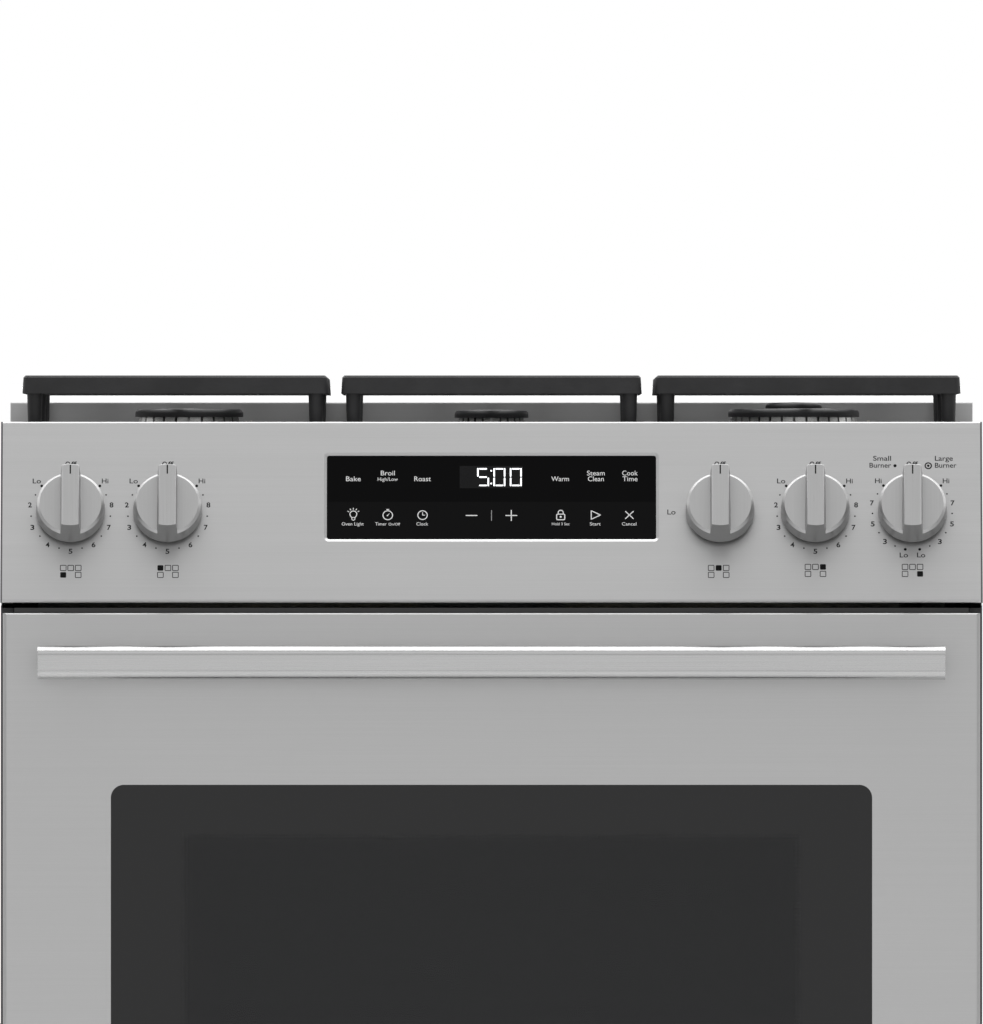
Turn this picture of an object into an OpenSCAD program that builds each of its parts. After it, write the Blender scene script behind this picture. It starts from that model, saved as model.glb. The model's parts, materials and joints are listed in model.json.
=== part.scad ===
// Freestanding gas range with a sloping front control panel.
// Millimetres. +Z is up, the front faces -Y, and the origin is on the floor under the middle of the range.

/* [Overall size] */
// Width over the side panels
range_w = 759; // [757:1:761]
// Height of the cooktop rim above the floor
cook_h = 914; // [910:1:920]
// Depth from the front frame to the back
body_d = 635; // [630:1:645]
// How far the handle stands in front of the door
handle_reach = 52; // [46:1:60]

/* [Control panel] */
// How far the panel leans back from upright, in degrees
panel_tilt = 22; // [20:1:24]
// Height that the sloping face covers
panel_rise = 140; // [136:1:144]
// Sheet thickness of the face
panel_t = 1.6; // [1.4:0.1:2]
// Width of the opening for the touch glass
glass_w = 254.6; // [250:0.2:258]
// Height of that opening, along the slope
glass_h = 69.8; // [66:0.1:70]
// Middle of that opening above the knob line, along the slope
glass_up = 12.7; // [10:0.1:14]
// Knob positions across the panel
knob_x = [-325.3, -250.4, 176.7, 250.3, 325.3];

/* [Knobs] */
// Radius of the skirt at its open edge
knob_r = 26.6; // [25:0.1:27]
// Gap under the skirt
knob_gap = 4.5; // [4:0.1:5]
// Height of the disc face above the panel
disc_h = 19; // [18:0.1:20]
// Height of the grip's face above the panel
grip_h = 36.9; // [36:0.1:38]
// Width of the grip at its face
grip_w = 13.2; // [12.4:0.2:14]

/* [Door and drawer] */
// Door thickness
door_t = 42; // [40:1:44]
// Gap between door and front frame
seal_gap = 6; // [5.8:0.1:6.5]
// Top of the drawer front
drawer_top = 219; // [215:1:219]
// Bottom of the door
door_bottom = 227; // [227:1:228]
// Top of the door
door_top = 766; // [764:1:766]
// Outer window opening
window_size = [588, 306];

/* [Oven] */
// Inside width of the oven
oven_w = 610; // [606:1:612]
// Inside depth of the oven
oven_d = 481; // [476:1:484]
// Height of the oven floor above the ground
oven_floor_z = 300; // [300:1:302]
// Height of the oven roof above the ground
oven_roof_z = 740; // [738:1:741]
// Heights of the tops of the rack ledges
ledge_z = [345, 405, 465, 525, 585, 645];

/* [Cooktop] */
// Burner centres, from the left front one round to the right front one
burner_xy = [[-235, -110], [-235, 165], [0, 165], [235, 165], [235, -110]];
// Radius of each burner head
burner_r = [40, 34, 27, 34, 50];
// Top of the grates above the cooktop rim
grate_h = 36; // [34:1:40]

/* [Hidden] */
$fn = 48;
sheet = 1.2;
half_w = range_w / 2;
total_d = handle_reach + door_t + seal_gap + body_d;
back_y = total_d / 2;
door_y = handle_reach - back_y;
door_back_y = door_y + door_t;
frame_y = door_back_y + seal_gap;
screw_head = 1.4;
cover_y = back_y - screw_head - sheet;
panel_z = cook_h - panel_rise;
slope_l = panel_rise / cos(panel_tilt);
knob_u = slope_l / 2;
panel_top_y = door_y + panel_rise * tan(panel_tilt);
cap_t = 1.3;
deck_y0 = panel_top_y + 19.2;
deck_y1 = back_y - 37.2;
deck_h = 18;
pan_z = cook_h - 10;
head_top = pan_z + 14;
bar_h = 14;
bar_z = cook_h + grate_h - bar_h;
side_in = half_w - sheet;
hinge_y = door_y + 14;
hinge_z = door_bottom + 12;
handle_z = door_top - 38;
bar_half = [8, 13];
pin_r = 4;
cavity_back = frame_y + sheet + 0.1 + oven_d;
foot_xy = [[-358, frame_y + 33], [358, frame_y + 33], [-358, back_y - 33], [358, back_y - 33]];
supply_x = 330;
supply_y = back_y - 47;
supply_r = 9.3;
manifold_depth = 62;
outlet_depth = 38;
lamp_xz = [-200, oven_roof_z - 50];
probe_xz = [180, oven_roof_z - 40];
bake_z = 272;
broil_z = oven_roof_z - 18;
flue_half = 58;
rear_screw_z = [100, 280, 460, 640, 820];

// ---------- Shared shapes ----------

// A box between two corners
module block(x0, x1, y0, y1, z0, z1) {
  translate([x0, y0, z0]) cube([x1 - x0, y1 - y0, z1 - z0]);
}

// The children, and their mirror image across the middle of the range
module both_sides() {
  children();
  mirror([1, 0, 0]) children();
}

// A drawing in (Y, Z) extruded along X
module along_x(x0, x1) {
  translate([x0, 0, 0]) rotate([90, 0, 90]) linear_extrude(x1 - x0) children();
}

// A drawing in (X, Z) extruded along Y
module along_y(y0, y1) {
  translate([0, y1, 0]) rotate([90, 0, 0]) linear_extrude(y1 - y0) children();
}

// A round bar between two points
module rod(a, b, r) {
  d = b - a;
  translate(a) rotate([0, acos(d.z / norm(d)), atan2(d.y, d.x)]) cylinder(h = norm(d), r = r);
}

// Round bars through a list of points, with ball corners of radius r_ball
module pipe(points, r, r_ball) {
  for (i = [1:len(points) - 1]) rod(points[i - 1], points[i], r);
  for (i = [1:1:len(points) - 2]) translate(points[i]) sphere(r = r_ball);
}

function unit(v) = v / norm(v);
function reversed(p) = [for (i = [len(p) - 1:-1:0]) p[i]];
function left_of(a, b) = let (d = unit(b - a)) [-d.y, d.x];
function half_turn(a) = a > 180 ? a - 360 : a < -180 ? a + 360 : a;

// The arc of radius r that rounds the corner b between a and c
function fillet(a, b, c, r, n = 6) =
  let (u = unit(a - b), v = unit(c - b), half = acos(u * v) / 2)
  let (o = b + unit(u + v) * r / sin(half), s = b + u * r / tan(half), e = b + v * r / tan(half))
  let (a0 = atan2(s.y - o.y, s.x - o.x), sweep = half_turn(atan2(e.y - o.y, e.x - o.x) - a0))
  [for (i = [0:n]) o + r * [cos(a0 + sweep * i / n), sin(a0 + sweep * i / n)]];

// A path moved to its left by t
function beside(p, t) = [for (i = [0:len(p) - 1])
  let (n1 = left_of(p[max(i, 1) - 1], p[max(i, 1)]))
  let (n2 = i < len(p) - 1 ? left_of(p[i], p[i + 1]) : n1)
  p[i] + (n1 + n2) * t / (1 + n1 * n2)];

// A path with its left and right turns rounded
function rounded_path(p, r_left, r_right) = [for (i = [0:len(p) - 1])
  each (i == 0 || i == len(p) - 1) ? [p[i]] :
    fillet(p[i - 1], p[i], p[i + 1], cross(p[i] - p[i - 1], p[i + 1] - p[i]) > 0 ? r_left : r_right)];

// A bent sheet seen edge on: its path, with its thickness t on the left and inside bends of radius r
module folded(path, t = sheet, r = 1.5) {
  polygon(concat(rounded_path(path, r + t, r), reversed(rounded_path(beside(path, t), r, r + t))));
}

// A rectangle with round corners, about a middle point
module plate(w, h, r, centre = [0, 0]) {
  translate(centre) {
    square([w - 2 * r, h], center = true);
    square([w, h - 2 * r], center = true);
    for (x = [r - w / 2, w / 2 - r], y = [r - h / 2, h / 2 - r]) translate([x, y]) circle(r = r);
  }
}

// Places children on the panel: +Z out of its face, +Y up its slope from the bottom edge
module on_panel(x = 0, u = 0, h = 0) {
  translate([x, door_y, panel_z]) rotate([90 - panel_tilt, 0, 0]) translate([0, u, h]) children();
}

// The same place as a point
function panel_point(x, u, h) = [x, door_y + u * sin(panel_tilt) - h * cos(panel_tilt),
  panel_z + u * cos(panel_tilt) + h * sin(panel_tilt)];

tube_z = panel_point(0, knob_u + 28, -outlet_depth).z;
fitting_z = tube_z + 8;

// ---------- Chassis ----------

module base_frame() {
  color("dimgray") difference() {
    union() {
      both_sides() block(346, 377.8, frame_y + 3, cover_y - 2, 40, 60);
      block(-347, 347, frame_y + 4, frame_y + 30, 40, 58);
      block(-347, 347, back_y - 40, back_y - 10, 40, 58);
    }
    both_sides() block(348, 375.8, frame_y + 5, cover_y - 4, 42, 61);
    block(-345, 345, frame_y + 6, frame_y + 28, 42, 59);
    block(-345, 345, back_y - 38, back_y - 12, 42, 59);
    for (p = foot_xy) translate([p.x, p.y, 39]) cylinder(h = 4, r = 5.5);
  }
}

module rear_screw_places(y) {
  for (side = [-1, 1], z = rear_screw_z) translate([side * 368, y, z]) rotate([90, 0, 0]) children();
}

module side_panels() {
  color("silver") difference() {
    both_sides() {
      block(side_in, half_w, frame_y, cover_y - 0.1, 40, panel_z - 2);
      block(side_in, half_w, deck_y0, cover_y - 0.1, panel_z - 3, cook_h - deck_h - 0.4);
      block(369.6, side_in + 0.1, frame_y, frame_y + sheet, 64, 770);
      block(358, side_in + 0.1, cover_y - sheet - 0.1, cover_y - 0.1, 64, cook_h - deck_h - 0.4);
    }
    rear_screw_places(cover_y + 1) cylinder(h = 4, r = 2.1);
  }
}

module rear_cover() {
  louvre = [64, 5];
  color("lightgray") difference() {
    block(-half_w + 0.5, half_w - 0.5, cover_y, cover_y + sheet, 64, cook_h - deck_h - 0.4);
    rear_screw_places(cover_y + 2) cylinder(h = 4, r = 2.1);
    for (x = [-180, 0, 180], i = [0:7])
      block(x - louvre.x / 2, x + louvre.x / 2, cover_y - 1, cover_y + 2, 600 + 14 * i, 600 + 14 * i + louvre.y);
    for (x = [-140, 140], i = [0:4])
      block(x - louvre.x / 2, x + louvre.x / 2, cover_y - 1, cover_y + 2, 180 + 14 * i, 180 + 14 * i + louvre.y);
    block(supply_x - 26, supply_x + 26, cover_y - 1, cover_y + 2, 63, 142);
    translate([-300, cover_y + 2, 150]) rotate([90, 0, 0]) cylinder(h = 4, r = 11.5);
  }
}

module front_frame() {
  color("black") difference() {
    union() {
      block(-369.2, 369.2, frame_y, frame_y + sheet, 226, 770);
      block(-369.2, 369.2, frame_y, frame_y + 13, 768.8, 770);
      block(-369.2, 369.2, frame_y, frame_y + 13, 226, 227.2);
    }
    along_y(frame_y - 1, frame_y + 2)
      plate(oven_w - 10, oven_roof_z - oven_floor_z - 8, 14, [0, (oven_roof_z + oven_floor_z) / 2]);
    both_sides() block(338.5, 347.5, frame_y - 1, frame_y + 14, hinge_z - 8, hinge_z + 8);
  }
}

module screws_along_rear() {
  rear_screw_places(cover_y + sheet + screw_head) {
    cylinder(h = screw_head, r1 = 3, r2 = 4.2);
    cylinder(h = 6, r = 1.9);
  }
}

module panel_screws() {
  color("silver") screws_along_rear();
}

module levelling_feet() {
  color("darkslategray") for (p = foot_xy) translate([p.x, p.y, 0]) {
    rotate_extrude() polygon([[0, 0], [16, 0], [18, 2], [18, 6], [9, 12], [9, 14], [0, 14]]);
    cylinder(h = 72, r = 5);
    translate([0, 0, 33]) cylinder(h = 6.8, r = 9.5, $fn = 6);
  }
}

module power_inlet() {
  color("black") {
    block(-330, -270, cover_y - 32, cover_y - 0.3, 128, 172);
    translate([-300, back_y, 150]) rotate([90, 0, 0]) difference() {
      cylinder(h = back_y - cover_y + 2, r = 11);
      translate([0, 0, -1]) cylinder(h = 2.4, r = 5);
    }
  }
}

// ---------- Oven ----------

module oven_cavity() {
  wall = 1.5;
  half = oven_w / 2;
  front = frame_y + sheet + 0.1;
  burner_box_z = 246.5;
  color("darkslateblue") difference() {
    block(-half - wall, half + wall, front, cavity_back + wall, burner_box_z - wall, oven_roof_z + wall);
    block(-half, half, front - 1, cavity_back, burner_box_z, oven_roof_z);
    rear_holes();
    block(-flue_half - 0.5, flue_half + 0.5, cavity_back - 44, cavity_back - 16, oven_roof_z - 1, oven_roof_z + 3);
    for (x = [-200, -100, 100, 200]) block(x - 30, x + 30, -200, -185, burner_box_z - 3, burner_box_z + 1);
  }
}

// The four round holes through the oven's back, each wider by clear
module rear_holes(clear = 0) {
  holes = [[lamp_xz.x, lamp_xz.y, 22], [probe_xz.x, probe_xz.y, 3.3], [0, bake_z, 16.5], [120, broil_z, 11]];
  for (h = holes) translate([h[0], cavity_back + 45, h[1]]) rotate([90, 0, 0])
    cylinder(h = 60, r = h[2] + clear);
}

// Strips along the oven's walls: one pair for the floor plate, and one pair for each rack height
module rack_guides() {
  half = oven_w / 2 - 0.1;
  y0 = frame_y + 12;
  y1 = cavity_back - 8;
  color("silver") both_sides() {
    block(half - 15, half, frame_y + 2, y1, oven_floor_z - 3, oven_floor_z);
    for (z = ledge_z) block(half - 13.9, half, y0, y1, z - 4, z);
  }
}

module oven_floor() {
  half = oven_w / 2 - 1.5;
  color("darkslateblue") difference() {
    block(-half, half, frame_y + 10, cavity_back - 1.5, oven_floor_z + 0.2, oven_floor_z + 0.2 + sheet);
    for (side = [-1, 1], i = [0:4])
      translate([side * 265, -200 + i * 88, oven_floor_z - 1]) linear_extrude(4) plate(9, 60, 4.4);
    translate([0, frame_y + 34, oven_floor_z - 1]) cylinder(h = 4, r = 10);
  }
}

module bake_burner() {
  y0 = -190;
  y1 = cavity_back + 20;
  color("gray") difference() {
    translate([0, y1, bake_z]) rotate([90, 0, 0]) difference() {
      cylinder(h = y1 - y0, r = 16);
      translate([0, 0, -1]) cylinder(h = y1 - y0 - 2, r = 14.5);
    }
    for (side = [-1, 1], i = [0:13])
      translate([0, -170 + i * 24, bake_z]) rotate([0, side * 75, 0]) cylinder(h = 20, r = 1.6);
  }
}

module broil_burner() {
  x1 = 200;
  y0 = -140;
  y1 = 150;
  z0 = broil_z - 14;
  z1 = broil_z + 13;
  color("gray") difference() {
    union() {
      difference() {
        block(-x1, x1, y0, y1, z0, z1);
        block(-x1 + sheet, x1 - sheet, y0 + sheet, y1 - sheet, z0 - 1, z1 - sheet);
      }
      block(-x1 + 14, x1 - 14, y0 + 14, y1 - 14, z1 - 6, z1 - sheet + 0.5);
      for (i = [1:11]) block(-x1 + 0.5, x1 - 0.5, y0 + 24 * i, y0 + 24 * i + 3, z0, z0 + 8.5);
      translate([120, cavity_back + 20, broil_z + 1]) rotate([90, 0, 0])
        cylinder(h = cavity_back + 21 - y1, r = 9.5);
    }
  }
}

module oven_lamp() {
  color("lightyellow") translate([lamp_xz.x, cavity_back, lamp_xz.y]) rotate([90, 0, 0]) {
    cylinder(h = 1.8, r = 26);
    translate([0, 0, -30]) cylinder(h = 31, r = 21);
    cylinder(h = 14, r = 20);
    translate([0, 0, 4]) intersection() {
      sphere(r = 22.4);
      translate([0, 0, 9]) cylinder(h = 20, r = 21);
    }
  }
}

module temperature_sensor() {
  color("silver") translate([probe_xz.x, cavity_back, probe_xz.y]) rotate([90, 0, 0]) {
    translate([0, 0, -16]) cylinder(h = 100, r = 3);
    linear_extrude(1.5) plate(16, 34, 5);
  }
}

module oven_insulation() {
  near = oven_w / 2 + 2;
  color("lightyellow") difference() {
    block(-near - 24, near + 24, frame_y + 3, cavity_back + 27, 249, oven_roof_z + 26);
    block(-near, near, frame_y, cavity_back + 2, 248, oven_roof_z + 2);
    rear_holes(1.5);
    block(-flue_half - 2, flue_half + 2, cavity_back - 46, cavity_back - 14, oven_roof_z, oven_roof_z + 30);
  }
}

// The duct runs up from the oven roof, back over the insulation, and up into the vent trim
module flue_duct() {
  y0 = cavity_back - 43.5;
  y1 = cavity_back - 16.5;
  y2 = back_y - 35;
  y3 = back_y - 8;
  x = flue_half;
  module duct(g) {
    block(-x + g, x - g, y0 + g, y1 - g, oven_roof_z + 1.7 - g, 801 - g);
    block(-x + g, x - g, y0 + g, y3 - g, 776 + g, 801 - g);
    block(-x + g, x - g, y2 + g, y3 - g, 776 + g, cook_h + 10 + g);
  }
  color("silver") difference() {
    duct(0);
    duct(1);
  }
}

// ---------- Cooktop ----------

module cooktop_deck() {
  wall = sheet;
  rim = 13;
  x1 = half_w;
  bottom = cook_h - deck_h;
  color([0.12, 0.12, 0.13]) difference() {
    translate([0, (deck_y0 + deck_y1) / 2, bottom]) linear_extrude(deck_h)
      plate(range_w, deck_y1 - deck_y0, 3);
    // hollow under the pan
    block(-x1 + rim, x1 - rim, deck_y0 + rim, deck_y1 - rim, bottom - 1, pan_z - wall);
    // hollow under the raised rim
    difference() {
      block(-x1 + wall, x1 - wall, deck_y0 + wall, deck_y1 - wall, bottom - 1, cook_h - wall);
      block(-x1 + rim - wall, x1 - rim + wall, deck_y0 + rim - wall, deck_y1 - rim + wall, bottom - 2, cook_h);
    }
    // the sunken pan
    translate([0, (deck_y0 + deck_y1) / 2, pan_z])
      linear_extrude(deck_h) plate(range_w - 2 * rim, deck_y1 - deck_y0 - 2 * rim, 10);
    for (i = [0:4]) translate([burner_xy[i].x, burner_xy[i].y, bottom]) {
      cylinder(h = 20, r = burner_r[i] - 12);
      translate([burner_r[i] + 8, 0, 0]) cylinder(h = 20, r = 4);
    }
  }
}

module vent_trim() {
  y0 = deck_y1 + 0.3;
  y1 = cover_y + sheet;
  top = cook_h + 30;
  bottom = cook_h - deck_h + 0.4;
  color("silver") difference() {
    union() {
      along_x(-half_w, half_w)
        folded([[y1, bottom], [y1, top], [y0 + 9, top], [y0, top - 14], [y0, bottom]], sheet, 2.5);
      both_sides() along_x(half_w - sheet, half_w)
        polygon([[y0 + 0.5, bottom], [y0 + 0.5, top - 14], [y0 + 9, top - 0.5], [y1 - 2, top - 0.5], [y1 - 0.5, bottom]]);
    }
    for (i = [-6:6]) translate([i * 52, (y0 + y1) / 2 + 4, top - 5]) linear_extrude(10) plate(40, 9, 4.4);
  }
}

module burner_bases() {
  color("silver") for (i = [0:4]) translate([burner_xy[i].x, burner_xy[i].y, 0]) {
    translate([0, 0, fitting_z]) cylinder(h = 10.5, r = 8);
    translate([0, 0, fitting_z + 10]) cylinder(h = pan_z - sheet - fitting_z - 10, r = burner_r[i] - 6);
  }
}

// A ring with flame slots cut through its wall
module burner_ring(r, r_in, z0, z1, slots) {
  difference() {
    translate([0, 0, z0]) cylinder(h = z1 - z0, r1 = r, r2 = r - 1.5);
    translate([0, 0, z0 + 2]) cylinder(h = z1 - z0, r = r_in);
    for (i = [0:slots - 1]) rotate(i * 360 / slots) translate([r_in - 1, -0.9, z1 - 5]) cube([r, 1.8, 6]);
  }
}

module burner_heads() {
  color("gainsboro") for (i = [0:4]) translate([burner_xy[i].x, burner_xy[i].y, 0])
    if (i == 4) {
      difference() {
        burner_ring(burner_r[i], burner_r[i] - 8, pan_z, head_top, 32);
        translate([0, 0, pan_z - 1]) cylinder(h = 4, r = 22);
      }
      burner_ring(21.5, 15, pan_z, head_top + 5, 14);
    } else burner_ring(burner_r[i], burner_r[i] - 7, pan_z, head_top, 24);
}

// Half section of a burner cap from radius r_in to r_out, with a round shoulder
function cap_section(r_in, r_out, z) = concat(
  [[r_in, z], [r_out, z], [r_out, z + 2.5]],
  [for (a = [0:15:90]) [r_out - 3.5 + 3.5 * cos(a), z + 2.5 + 3.5 * sin(a)]],
  [[r_in, z + 6.6]]);

module burner_caps() {
  color("black") for (i = [0:4]) translate([burner_xy[i].x, burner_xy[i].y, 0])
    if (i == 4) {
      rotate_extrude() polygon(cap_section(28, burner_r[i] + 1, head_top + 0.1));
      rotate_extrude() polygon(cap_section(0, 22, head_top + 5.1));
    } else rotate_extrude() polygon(cap_section(0, burner_r[i] + 2, head_top + 0.1));
}

// Ceramic igniters: a spark electrode beside each burner, and a glow bar beside each oven burner
module igniters() {
  color("ivory") {
    for (i = [0:4]) translate([burner_xy[i].x + burner_r[i] + 8, burner_xy[i].y, 0]) {
      translate([0, 0, pan_z - 30]) cylinder(h = 36, r = 3.2);
      translate([0, 0, pan_z + 5]) cylinder(h = 6.5, r = 1.1);
    }
    for (p = [[37, -60, bake_z, 14.2], [219, 40, broil_z, 12.2]]) translate([p[0], p[1], p[2]]) {
      block(-7, 7, -20, 20, -9, 9);
      block(-3, 1, -70, -19, -4, 4);
      block(-7 - p[3] + 0.4, -6, -6, 6, -1, 1);
    }
  }
}

// One tapered cast bar from a to b, seen in plan
module grate_bar(a, b) {
  d = b - a;
  translate([a.x, a.y, bar_z]) rotate(atan2(d.y, d.x)) rotate([90, 0, 90]) linear_extrude(norm(d))
    polygon([[-5.5, 0], [5.5, 0], [4.6, bar_h - 1.6], [3, bar_h], [-3, bar_h], [-4.6, bar_h - 1.6]]);
}

module grate_leg(x, y) {
  translate([x, y, pan_z + 0.2]) cylinder(h = bar_z - pan_z + 2, r1 = 5, r2 = 6);
}

// A grate's outer bars and its feet, with the corners filled
module grate_rim(x0, x1, y0, y1) {
  grate_bar([x0, y0], [x1, y0]);
  grate_bar([x0, y1], [x1, y1]);
  grate_bar([x0, y0], [x0, y1]);
  grate_bar([x1, y0], [x1, y1]);
  for (x = [x0, x1], y = [y0, y1]) {
    translate([x, y, bar_z]) cylinder(h = bar_h - 1.6, r1 = 5.5, r2 = 4.6);
    translate([x, y, bar_z + bar_h - 1.7]) cylinder(h = 1.7, r1 = 4.6, r2 = 3);
  }
}

grate_y = [deck_y0 + 18, deck_y1 - 18];

// A side grate about x: two long bars, a cross bar, and fingers that reach in over each burner
module side_grate(x) {
  w = 113;
  mid = (grate_y[0] + grate_y[1]) / 2;
  grate_rim(x - w, x + w, grate_y[0], grate_y[1]);
  grate_bar([x - w, mid], [x + w, mid]);
  for (side = [-1, 1]) {
    grate_bar([x + side * 58, grate_y[0]], [x + side * 58, grate_y[1]]);
    for (y = [burner_xy[0].y, burner_xy[1].y]) grate_bar([x + side * w, y], [x + side * 20, y]);
    for (y = [grate_y[0], mid, grate_y[1]]) grate_leg(x + side * (w - 4), y == mid ? mid : y + (y < mid ? 4 : -4));
  }
  for (y = [burner_xy[0].y, burner_xy[1].y], side = [-1, 1]) {
    far = side > 0 ? (y < mid ? mid : grate_y[1]) : (y < mid ? grate_y[0] : mid);
    grate_bar([x, far], [x, y + side * 20]);
  }
}

module grate_left() {
  color("black") side_grate(-245);
}

module grate_right() {
  color("black") side_grate(245);
}

module grate_centre() {
  w = 111;
  y_b = burner_xy[2].y;
  color("black") {
    grate_rim(-w, w, grate_y[0], grate_y[1]);
    for (side = [-1, 1]) {
      grate_bar([side * 40, grate_y[0]], [side * 40, grate_y[1]]);
      grate_bar([side * w, y_b], [side * 20, y_b]);
      for (y = [grate_y[0] + 4, 30, grate_y[1] - 4]) grate_leg(side * (w - 4), y);
    }
    for (y = [-140, -50, 40]) grate_bar([-w, y], [w, y]);
    grate_bar([0, 40], [0, y_b - 20]);
    grate_bar([0, grate_y[1]], [0, y_b + 20]);
  }
}

// ---------- Gas supply ----------

module gas_manifold() {
  start = panel_point(-345, knob_u, -manifold_depth);
  turn = [supply_x, supply_y, start.z];
  color("gray") {
    rod(start, [345, start.y, start.z], 9);
    pipe([[supply_x, start.y, start.z], turn, [supply_x, supply_y, 136]], 9, 10.5);
  }
}

module valve_bodies() {
  color("tan") for (x = knob_x) on_panel(x, knob_u) difference() {
    union() {
      translate([-13, -13, -58]) cube([26, 26, 34]);
      translate([0, 0, -25]) cylinder(h = 15, r = 9);
      translate([0, 12, -outlet_depth]) rotate([-90, 0, 0]) cylinder(h = 8, r = 6);
    }
    translate([0, 0, -48.3]) cylinder(h = 22.6, r = 7.08);
    translate([0, 0, -30]) cylinder(h = 21, r = 4.08);
    translate([-15, 0, -manifold_depth]) rotate([0, 90, 0]) cylinder(h = 30, r = 9.15);
  }
}

module gas_tubes() {
  $fn = 32;
  color("silver") for (i = [0:4]) {
    start = panel_point(knob_x[i], knob_u + 20.2, -outlet_depth);
    up = panel_point(knob_x[i], knob_u + 28, -outlet_depth);
    over = [burner_xy[i].x, burner_xy[i].y, tube_z];
    pipe([start, up, over, [over.x, over.y, fitting_z - 0.2]], 4, 4.6);
  }
}

module gas_regulator() {
  color("slategray") difference() {
    union() {
      block(supply_x - 18, supply_x + 18, supply_y - 18, supply_y + 18, 92, 135.8);
      translate([supply_x, supply_y + 34, 114]) rotate([90, 0, 0]) cylinder(h = 17, r = 15);
      translate([supply_x, supply_y - 17, 114]) rotate([90, 0, 0]) cylinder(h = 10, r = 17);
    }
    translate([supply_x, supply_y + 35, 114]) rotate([90, 0, 0]) cylinder(h = 21, r = supply_r);
  }
}

module spark_module() {
  color("ivory") {
    block(-150, -70, back_y - 40, back_y - 12, 320, 380);
    for (i = [0:4]) translate([-140 + i * 15, back_y - 26, 379]) cylinder(h = 9, r = 2.5);
  }
}

// ---------- Control panel ----------

module control_fascia() {
  edge = half_w - cap_t - 0.1;
  path = [[panel_top_y + 19, cook_h], [panel_top_y, cook_h], [door_y, panel_z], [door_y + 26, panel_z]];
  lip = 2.1;
  lip_depth = 0.9;
  color("silver") difference() {
    along_x(-edge, edge) folded(path, panel_t, 0.4);
    for (x = knob_x) on_panel(x, knob_u, -panel_t - 1) cylinder(h = 5, r = 6);
    on_panel(0, knob_u + glass_up) {
      translate([0, 0, -panel_t - 1]) linear_extrude(4) plate(glass_w, glass_h, 2);
      hull() {
        translate([0, 0, -lip_depth]) linear_extrude(0.01) plate(glass_w, glass_h, 2);
        translate([0, 0, lip_depth]) linear_extrude(0.01) plate(glass_w + 4 * lip, glass_h + 4 * lip, 5);
      }
    }
  }
}

module fascia_end_caps() {
  back = deck_y0 - 0.2;
  color("dimgray") both_sides() along_x(half_w - cap_t, half_w)
    polygon([[door_y + 0.4, panel_z], [panel_top_y + 0.4, cook_h], [back, cook_h], [back, panel_z]]);
}

module touch_glass() {
  color("black") on_panel(0, knob_u + glass_up, -panel_t - 3.1) linear_extrude(3)
    plate(glass_w + 8, glass_h + 6, 3);
}

module control_housing() {
  w = glass_w + 14;
  h = glass_h + 12;
  color([0.15, 0.15, 0.15]) on_panel(0, knob_u + glass_up, 0) difference() {
    translate([0, 0, -32]) linear_extrude(32 - panel_t - 3.3) plate(w, h, 4);
    translate([0, 0, -30]) linear_extrude(32) plate(w - 4, h - 4, 2.5);
    for (x = [-90, 90]) translate([x - 20, -8, -33]) cube([40, 16, 4]);
  }
}

module control_board() {
  parts = [[-100, 10, 16, 12, 8], [-70, -12, 22, 14, 7], [-20, 4, 64, 26, 9], [70, -10, 18, 16, 8], [100, 12, 14, 10, 6]];
  color("darkgreen") on_panel(0, knob_u + glass_up, -20) {
    linear_extrude(1.6) plate(glass_w - 2, glass_h - 4, 2);
    for (p = parts) translate([p[0] - p[2] / 2, p[1] - p[3] / 2, 1]) cube([p[2], p[3], p[4] + 0.6]);
    for (x = [-90, 90]) translate([x - 15, -6, -9]) cube([30, 12, 9.5]);
  }
}

module control_rail() {
  path = [[-175, 800], [-175, panel_z + 2], [door_y + 28, panel_z + 2], [door_y + 28, panel_z + 18]];
  color("gray") along_x(-376, 376) folded(reversed(path), 1.5, 1.5);
}

// ---------- Door ----------

// The hinge arm is fixed to the front frame, and the door turns about its pin
module hinge_arms() {
  color("gray") both_sides() {
    block(340, 346, hinge_y, frame_y + 14, hinge_z - 6, hinge_z + 6);
    translate([340, hinge_y, hinge_z]) rotate([0, 90, 0]) cylinder(h = 6, r = 7);
    translate([333, hinge_y, hinge_z]) rotate([0, 90, 0]) cylinder(h = 20, r = pin_r);
    block(333, 353, frame_y + sheet + 0.1, frame_y + sheet + 1.6, hinge_z - 11, hinge_z + 15);
  }
}

module door_hinges() {
  z1 = hinge_z + 112;
  color("gray") both_sides() difference() {
    union() {
      for (x = [333, 346.6]) block(x, x + 6.4, hinge_y - 8, hinge_y + 13, door_bottom + 2, z1);
      block(339, 347, hinge_y - 8, hinge_y - 5, hinge_z + 23, z1);
    }
    translate([332, hinge_y, hinge_z]) rotate([0, 90, 0]) cylinder(h = 22, r = pin_r + 0.08);
  }
}

// The slot that each fixed hinge arm swings through as the door turns
module arm_slots() {
  both_sides() block(338.5, 347.5, hinge_y - 8, door_back_y + 1, door_bottom - 1, hinge_z + 9);
}

window_z = (door_top + door_bottom) / 2 - 16;

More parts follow.
